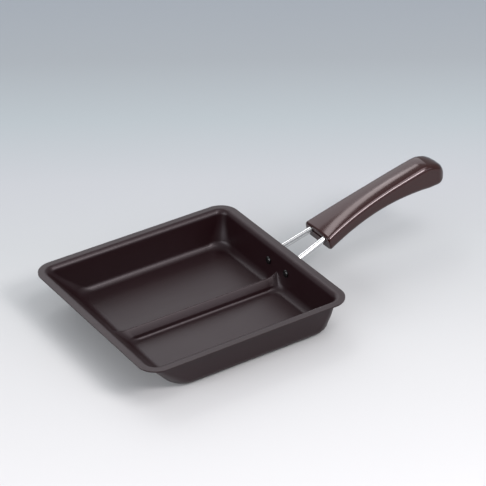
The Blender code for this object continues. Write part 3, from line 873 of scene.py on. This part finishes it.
# how each point of a row's section follows from that distance and the sizes
gripRule = [
    # the arched centre line
    ("bent", "DIVIDE", "s", "arc"),
    ("turn", "SUBTRACT", "startAngle", "bent"),
    ("sineStart", "SINE", "startAngle"),
    ("sineHere", "SINE", "turn"),
    ("advance", "SUBTRACT", "sineStart", "sineHere"),
    ("spineX", "MULTIPLY_ADD", "arc", "advance", "front"),
    ("cosineStart", "COSINE", "startAngle"),
    ("cosineHere", "COSINE", "turn"),
    ("rise", "SUBTRACT", "cosineHere", "cosineStart"),
    ("spineZ", "MULTIPLY_ADD", "arc", "rise", "frontHeight"),
    # sections stand square to it, except near the front face
    ("facePast", "DIVIDE", "s", "faceRun"),
    ("faceLeft", "SUBTRACT", 1.0, "facePast"),
    ("faceShare", "MAXIMUM", "faceLeft", 0.0),
    ("faceSquare", "MULTIPLY", "faceShare", "faceShare"),
    ("faceLean", "SUBTRACT", "startAngle", "faceAngle"),
    ("leanHere", "MULTIPLY", "faceLean", "faceSquare"),
    ("angle", "SUBTRACT", "turn", "leanHere"),
    # the front edge's rounding pulls the section in
    ("roundLeft", "SUBTRACT", "faceRound", "s"),
    ("roundShare", "MAXIMUM", "roundLeft", 0.0),
    ("roundSquare", "MULTIPLY", "roundShare", "roundShare"),
    ("faceRoundSquare", "MULTIPLY", "faceRound", "faceRound"),
    ("roundRest", "SUBTRACT", "faceRoundSquare", "roundSquare"),
    ("roundDepth", "SQRT", "roundRest"),
    ("inset", "SUBTRACT", "faceRound", "roundDepth"),
    # half width: a waist that flares to the front and closes at the nose
    ("flarePast", "DIVIDE", "s", "flareRun"),
    ("flareLeft", "SUBTRACT", 1.0, "flarePast"),
    ("flareShare", "MAXIMUM", "flareLeft", 0.0),
    ("flareSquare", "MULTIPLY", "flareShare", "flareShare"),
    ("flareHalf", "MULTIPLY", "flare", 0.5),
    ("waistHalf", "MULTIPLY", "waist", 0.5),
    ("openHalf", "MULTIPLY_ADD", "flareHalf", "flareSquare", "waistHalf"),
    ("closedHalf", "MULTIPLY", "openHalf", "noseSide"),
    ("half", "SUBTRACT", "closedHalf", "inset"),
    # half depth grows to the end
    ("depthPast", "DIVIDE", "s", "depthRun"),
    ("depthShare", "MINIMUM", "depthPast", 1.0),
    ("depthGain", "POWER", "depthShare", "depthPower"),
    ("depthMore", "SUBTRACT", "endDepth", "frontDepth"),
    ("depth", "MULTIPLY_ADD", "depthMore", "depthGain", "frontDepth"),
    ("halfDepth", "MULTIPLY", "depth", 0.5),
    # grows from 0 along the front to 1 at the end
    ("endLeft", "SUBTRACT", "length", "s"),
    ("endShare", "DIVIDE", "endLeft", "roundRun"),
    ("growLeft", "SUBTRACT", 1.0, "endShare"),
    ("growShare", "MAXIMUM", "growLeft", 0.0),
    ("growth", "MULTIPLY", "growShare", "growShare"),
    # the top and the underside meet at the nose's drop
    ("crownShare", "DIVIDE", "half", "openHalf"),
    ("crownHere", "MULTIPLY", "crown", "crownShare"),
    ("topRise", "MULTIPLY_ADD", "noseRise", "growth", "halfDepth"),
    ("topReach", "ADD", "topRise", "noseDrop"),
    ("topClosed", "MULTIPLY", "topReach", "noseTop"),
    ("topPlain", "SUBTRACT", "topClosed", "noseDrop"),
    ("topInset", "SUBTRACT", "topPlain", "inset"),
    ("top", "SUBTRACT", "topInset", "crownHere"),
    ("lowReach", "SUBTRACT", "noseDrop", "halfDepth"),
    ("lowClosed", "MULTIPLY", "lowReach", "noseLow"),
    ("lowPlain", "SUBTRACT", "lowClosed", "noseDrop"),
    ("low", "ADD", "lowPlain", "inset"),
    # edge roundings, no larger than the section has room for
    ("between", "SUBTRACT", "top", "low"),
    ("halfBetween", "MULTIPLY", "between", 0.5),
    ("least", "MINIMUM", "half", "halfBetween"),
    ("room", "MULTIPLY", "least", "roundLimit"),
    ("topRoundMore", "SUBTRACT", "noseRound", "topRound"),
    ("topRoundFull", "MULTIPLY_ADD", "topRoundMore", "growth", "topRound"),
    ("topRoundHere", "MINIMUM", "topRoundFull", "room"),
    ("lowRoundHere", "MINIMUM", "lowRound", "room"),
    # the outline is a square with corners of radius 1: its flat part and its round part
    ("flatYHigh", "MINIMUM", "outlineY", 1.0),
    ("flatY", "MAXIMUM", "flatYHigh", -1.0),
    ("roundY", "SUBTRACT", "outlineY", "flatY"),
    ("flatZHigh", "MINIMUM", "outlineZ", 1.0),
    ("flatZ", "MAXIMUM", "flatZHigh", -1.0),
    ("roundZ", "SUBTRACT", "outlineZ", "flatZ"),
    ("up", "MULTIPLY_ADD", "flatZ", 0.5, 0.5),
    ("roundMore", "SUBTRACT", "topRoundHere", "lowRoundHere"),
    ("round", "MULTIPLY_ADD", "roundMore", "up", "lowRoundHere"),
    ("flatHalf", "SUBTRACT", "half", "round"),
    ("yFlat", "MULTIPLY", "flatHalf", "flatY"),
    ("y", "MULTIPLY_ADD", "roundY", "round", "yFlat"),
    ("lowCentre", "ADD", "low", "lowRoundHere"),
    ("topCentre", "SUBTRACT", "top", "topRoundHere"),
    ("centreMore", "SUBTRACT", "topCentre", "lowCentre"),
    ("zFlat", "MULTIPLY_ADD", "centreMore", "up", "lowCentre"),
    ("zRound", "MULTIPLY_ADD", "roundZ", "round", "zFlat"),
    # the crown falls evenly from the middle line to both sides
    ("halfSafe", "MAXIMUM", "half", "leastHalf"),
    ("yShare", "DIVIDE", "y", "halfSafe"),
    ("yShareWhole", "MULTIPLY", "yShare", "yShare"),
    ("yShareSquare", "MINIMUM", "yShareWhole", 1.0),
    ("crownFall", "SUBTRACT", 1.0, "yShareSquare"),
    ("crownTop", "MULTIPLY", "crownFall", "up"),
    ("z", "MULTIPLY_ADD", "crownTop", "crownHere", "zRound"),
    # place the section on the centre line
    ("sineAngle", "SINE", "angle"),
    ("cosineAngle", "COSINE", "angle"),
    ("back", "MULTIPLY", "sineAngle", "z"),
    ("x", "SUBTRACT", "spineX", "back"),
    ("height", "MULTIPLY_ADD", "cosineAngle", "z", "spineZ"),
]


def gripTree(sizes):
    tree, known = newTree("shape the grip", sizes)
    line = addNode(tree, "GeometryNodeCurvePrimitiveLine", {"End": (1, 0, 0)})
    rows = addNode(tree, "GeometryNodeResampleCurve", {
        "Curve": line.outputs[0], "Count": gripSteps["rows"]})
    held = addNode(tree, "GeometryNodeCaptureAttribute", {"Geometry": rows.outputs[0]})
    held.capture_items.new("FLOAT", "row")
    share = addNode(tree, "GeometryNodeSplineParameter")
    tree.links.new(share.outputs["Factor"], held.inputs["row"])
    # a square of 4 with corners of radius 1, so that its flats run from -1 to 1
    square = addNode(tree, "GeometryNodeCurvePrimitiveQuadrilateral", {
        "Width": 4.0, "Height": 4.0})
    rounded = addNode(tree, "GeometryNodeFilletCurve", {
        "Curve": square.outputs[0], "Count": gripSteps["rounding"], "Radius": 1.0}, mode="POLY")
    # only the last point of each rounding starts a flat, which gets more points
    index = addNode(tree, "GeometryNodeInputIndex")
    inCorner = addNode(tree, "FunctionNodeIntegerMath", {
        0: index.outputs[0], 1: gripSteps["rounding"] + 1}, operation="MODULO")
    isLast = addNode(tree, "FunctionNodeCompare", {
        2: inCorner.outputs[0], 3: gripSteps["rounding"]}, data_type="INT", operation="EQUAL")
    cuts = addNode(tree, "ShaderNodeMath", {
        0: isLast.outputs[0], 1: float(gripSteps["flatCuts"])}, operation="MULTIPLY")
    outline = addNode(tree, "GeometryNodeSubdivideCurve", {
        "Curve": rounded.outputs[0], "Cuts": cuts.outputs[0]})
    shape = addNode(tree, "GeometryNodeCaptureAttribute", {"Geometry": outline.outputs[0]})
    shape.capture_items.new("VECTOR", "outline")
    position = addNode(tree, "GeometryNodeInputPosition")
    tree.links.new(position.outputs[0], shape.inputs["outline"])
    swept = addNode(tree, "GeometryNodeCurveToMesh", {
        "Curve": held.outputs[0],
        "Profile Curve": shape.outputs[0],
        "Scale": sweepScale,
        "Fill Caps": True,
    })
    spot = addNode(tree, "ShaderNodeSeparateXYZ", {0: shape.outputs["outline"]})
    known.update(row=held.outputs["row"], outlineY=spot.outputs[0], outlineZ=spot.outputs[1])
    followRule(tree, known, rowRule)
    # each face of the nose closes as a quarter of an ellipse over its own run
    for key in ("noseTop", "noseLow", "noseSide"):
        followRule(tree, known, [
            ("start", "SUBTRACT", "length", key + "Run"),
            ("into", "SUBTRACT", "s", "start"),
            ("inside", "MAXIMUM", "into", 0.0),
            ("past", "DIVIDE", "inside", key + "Run"),
            ("pastSquare", "MULTIPLY", "past", "past"),
            ("rest", "SUBTRACT", 1.0, "pastSquare"),
            ("restSafe", "MAXIMUM", "rest", 0.0),
            (key, "SQRT", "restSafe"),
        ])
    followRule(tree, known, gripRule)
    place = addNode(tree, "ShaderNodeCombineXYZ", {
        "X": known["x"], "Y": known["y"], "Z": known["height"]})
    placed = addNode(tree, "GeometryNodeSetPosition", {
        "Geometry": swept.outputs[0], "Position": place.outputs[0]})
    merged = addNode(tree, "GeometryNodeMergeByDistance", {
        "Geometry": placed.outputs[0], "Distance": gripSteps["seam"]})
    return endTree(tree, merged.outputs[0], phenolic)


gripSizes = dict(grip, front=grip["front"] + trayCentre)
handle = growPiece("grip", gripTree(gripSizes), gripSizes)
turnFacesOut(handle)
shadeSmooth(handle, gripSteps["sharpDegrees"])

# what is inside the handle: rod bores, the slot for the cross plate, the screw's hole
inside = {
    "plateThickness": 0.0016,
    "plateSetback": 0.003,
    "plateLength": 0.036,
    "screwDistance": 0.026,
    "screwShank": 0.0036,
    "screwHead": 0.0068,
    "screwRecess": 0.0034,
    "screwPastPlate": 0.0022,
    "reach": 0.02,  # how far a cutter starts outside the handle
    "sides": 64,
}
# the rods' plane: its start at the handle's front, and its directions
frontDistance = grip["front"] + trayCentre - rodCorner(1).x
planeAlong = Vector((math.cos(rod["climb"]), 0, math.sin(rod["climb"])))
planeUp = Vector((-math.sin(rod["climb"]), 0, math.cos(rod["climb"])))
planeStart = (rodLine(1, frontDistance) + rodLine(-1, frontDistance)) / 2


# half the distance between the rods' axes, run metres past the handle's front
def halfSpread(run):
    return rodLine(1, frontDistance + run * math.cos(rod["climb"])).y


def slotCutter():
    thickness = inside["plateThickness"] + 2 * clearance
    ends = (-inside["reach"], inside["plateSetback"] + inside["plateLength"] + clearance)
    bm = bmesh.new()
    corners = []
    for lift in (-thickness / 2, thickness / 2):
        for run, side in ((ends[0], -1), (ends[1], -1), (ends[1], 1), (ends[0], 1)):
            point = planeStart + planeAlong * run + planeUp * lift
            corners.append(bm.verts.new(point + Vector((0, side * halfSpread(run), 0))))
    low, high = corners[:4], corners[4:]
    bm.faces.new(low)
    bm.faces.new(high)
    for i in range(4):
        j = (i + 1) % 4
        bm.faces.new((low[i], low[j], high[j], high[i]))
    bmesh.ops.recalc_face_normals(bm, faces=bm.faces)
    return addPiece("slot", meshFrom(bm, "slot"))


# how far the handle's underside lies below a point, this far along its arch
def undersideBelow(point, run):
    start, arc = grip["startAngle"], grip["arc"]
    here = start - run / arc
    spineX = grip["front"] + trayCentre + arc * (math.sin(start) - math.sin(here))
    spineZ = grip["frontHeight"] + arc * (math.cos(here) - math.cos(start))
    gain = (run / grip["depthRun"]) ** grip["depthPower"]
    depth = grip["frontDepth"] + (grip["endDepth"] - grip["frontDepth"]) * gain
    return (point - Vector((spineX, 0, spineZ))).dot(planeUp) + depth / 2


# a round hole with room for what goes into it
def holeCutter(name, start, end, diameter):
    return roundCutter(name, start, end, diameter / 2 + clearance, inside["sides"])


cutters = [slotCutter()]
for side in (1, -1):
    start = rodLine(side, frontDistance - inside["reach"])
    end = rodLine(side, rod["innerEnd"] + trayCentre - rodCorner(side).x + clearance)
    cutters.append(holeCutter("bore", start, end, rod["diameter"]))
screwCentre = planeStart + planeAlong * inside["screwDistance"]
below = screwCentre - planeUp * inside["reach"]
pastCentre = inside["plateThickness"] / 2 + inside["screwPastPlate"] + clearance
screwTip = screwCentre + planeUp * pastCentre
cutters.append(holeCutter("screwHole", below, screwTip, inside["screwShank"]))
seatDrop = undersideBelow(screwCentre, inside["screwDistance"]) - inside["screwRecess"]
seat = screwCentre - planeUp * seatDrop
cutters.append(holeCutter("screwRecess", below, seat, inside["screwHead"]))
cutAway(handle, cutters)
shadeSmooth(handle, gripSteps["cutSharpDegrees"])
leadByArea(handle)
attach(handle, "root")
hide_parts("handle_grip")
print("grip shaped:", len(handle.data.polygons), "faces")

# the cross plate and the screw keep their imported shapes
for node in ("tang_plate", "handle_screw"):
    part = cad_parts[node]
    part.data.materials.clear()
    part.data.materials.append(zinc)
print("cross plate and screw zinc plated")

# where the photograph was taken from
camera = {
    "azimuth": math.radians(-33.033),
    "elevation": math.radians(31.564),
    "roll": math.radians(-0.696),
    "distance": 1.940,
    "aim": (0.0994, 0.0734, 0.0),
    "lens": 166.71,
    "sensor": 36.0,
}
aim = Vector(camera["aim"]) + Vector((trayCentre, 0, 0))
azimuth, elevation = camera["azimuth"], camera["elevation"]
backward = Vector((
    math.sin(azimuth) * math.cos(elevation),
    -math.cos(azimuth) * math.cos(elevation),
    math.sin(elevation)))
cameraData = bpy.data.cameras.new("photograph")
cameraData.lens = camera["lens"]
cameraData.sensor_width = camera["sensor"]
cameraObject = bpy.data.objects.new("photograph", cameraData)
bpy.context.scene.collection.objects.link(cameraObject)
cameraObject.rotation_mode = "QUATERNION"
cameraObject.location = aim + backward * camera["distance"]
level = (-backward).to_track_quat("-Z", "Y")
cameraObject.rotation_quaternion = level @ Quaternion((0, 0, 1), camera["roll"])
bpy.context.scene.camera = cameraObject

floorSizes = {
    "half": 6.0,
    "below": 0.0001,
    # near and far: where the painted falloff of the table's colour begins and ends
    "near": 1.30,  # from the camera's foot along its view
    "far": 2.20,
}
viewGround = Vector((-backward.x, -backward.y, 0)).normalized()
cameraFoot = Vector((cameraObject.location.x, cameraObject.location.y, 0))


# a matt studio table whose colour is painted darker and bluer with distance from the camera, from
# near white to blue-grey: a painted falloff of the studio light across it
def makeFloorPaper():
    material, tree, shader = newMaterial("studioPaper", {
        "Roughness": 0.9,
        "Specular IOR Level": 0.1,
    })
    place = addNode(tree, "ShaderNodeTexCoord").outputs["Object"]
    away = addNode(tree, "ShaderNodeVectorMath", {
        0: place, 1: viewGround}, operation="DOT_PRODUCT")
    start = cameraFoot.dot(viewGround)
    share = addNode(tree, "ShaderNodeMapRange", {
        "Value": away.outputs["Value"],
        "From Min": start + floorSizes["near"],
        "From Max": start + floorSizes["far"],
    })
    ramp = addNode(tree, "ShaderNodeValToRGB", {"Fac": share.outputs[0]})
    # painted shade: the table darkens and cools with distance, standing in for the light falling
    # off there
    paintedFalloffStops = (
        (0.0, "#dededf"), (0.20, "#d3d4d5"), (0.39, "#c4c7c9"), (0.51, "#bfc2c6"),
        (0.64, "#b0b8bc"), (0.78, "#a2a8ad"), (1.0, "#99a0a8"))
    while len(ramp.color_ramp.elements) < len(paintedFalloffStops):
        ramp.color_ramp.elements.new(0.5)
    for stop, (position, colour) in zip(ramp.color_ramp.elements, paintedFalloffStops):
        stop.position = position
        stop.color = linear(colour)
    tree.links.new(ramp.outputs[0], shader.inputs["Base Color"])
    return material


half, low = floorSizes["half"], -floorSizes["below"]
floorMesh = bpy.data.meshes.new("floor")
corners = [(-half, -half, low), (half, -half, low), (half, half, low), (-half, half, low)]
floorMesh.from_pydata(corners, [], [(0, 1, 2, 3)])
floorMesh.materials.append(makeFloorPaper())
floor = addPiece("floor", floorMesh)

# soft lamps round the pan, each placed for a highlight that the real one shows
panMiddle = Vector((0.0, 0.0, 0.03))
lamps = {
    # name: direction from the pan, distance, width, height, power, roll in degrees, colour
    "key": ((0.275, -0.69, 0.67), 1.9, 0.55, 0.55, 15.5, 0, "#fffafa"),
    "low": ((0.4645, -0.80, 0.39), 1.9, 1.2, 0.5, 2.0, 0, "#f4f6ff"),
    "back": ((0.17, 0.79, 0.52), 2.35, 2.3, 1.3, 11.8, 0, "#fafcff"),
    "strip": ((0.0913, 0.5764, 0.812), 2.2, 1.1, 0.28, 4.2, 30, "#fffdfb"),
    "top": ((0.20, -0.34, 0.92), 2.0, 0.9, 0.92, 8.6, 0, "#fffbfc"),
    "fill": ((-0.93, -0.15, 0.35), 2.4, 2.0, 1.2, 30.0, 0, "#fafcff"),
}
for name, (direction, distance, width, height, power, roll, colour) in lamps.items():
    light = bpy.data.lights.new(name, "AREA")
    light.shape = "RECTANGLE"
    light.size = width
    light.size_y = height
    light.energy = power
    light.color = linear(colour)[:3]
    lamp = bpy.data.objects.new(name, light)
    bpy.context.scene.collection.objects.link(lamp)
    lamp.location = panMiddle + Vector(direction).normalized() * distance
    lamp.rotation_mode = "QUATERNION"
    facing = (panMiddle - lamp.location).to_track_quat("-Z", "Y")
    lamp.rotation_quaternion = facing @ Quaternion((0, 0, 1), math.radians(roll))
    lamp.visible_camera = False

# an even pale studio round it all, a little lighter above
skyStrength = 0.86
skyStops = (
    (0.0, "#bcbcbf"), (0.26, "#b8b8bb"), (0.47, "#b9babd"), (0.57, "#c8c9cc"),
    (0.72, "#cbcccf"), (1.0, "#cbcccf"))
world = bpy.data.worlds.new("studio")
bpy.context.scene.world = world
world.use_nodes = True
skyTree = world.node_tree
skyBackground = skyTree.nodes["Background"]
skyPlace = addNode(skyTree, "ShaderNodeTexCoord").outputs["Generated"]
skyHeight = addNode(skyTree, "ShaderNodeSeparateXYZ", {0: skyPlace}).outputs[2]
skyRamp = addNode(skyTree, "ShaderNodeValToRGB", {"Fac": skyHeight})
while len(skyRamp.color_ramp.elements) < len(skyStops):
    skyRamp.color_ramp.elements.new(0.5)
for stop, (position, colour) in zip(skyRamp.color_ramp.elements, skyStops):
    stop.position = position
    stop.color = linear(colour)
skyTree.links.new(skyRamp.outputs[0], skyBackground.inputs["Color"])
skyBackground.inputs["Strength"].default_value = skyStrength
bpy.context.scene.view_settings.view_transform = "Standard"
print("floor, lamps and camera set")
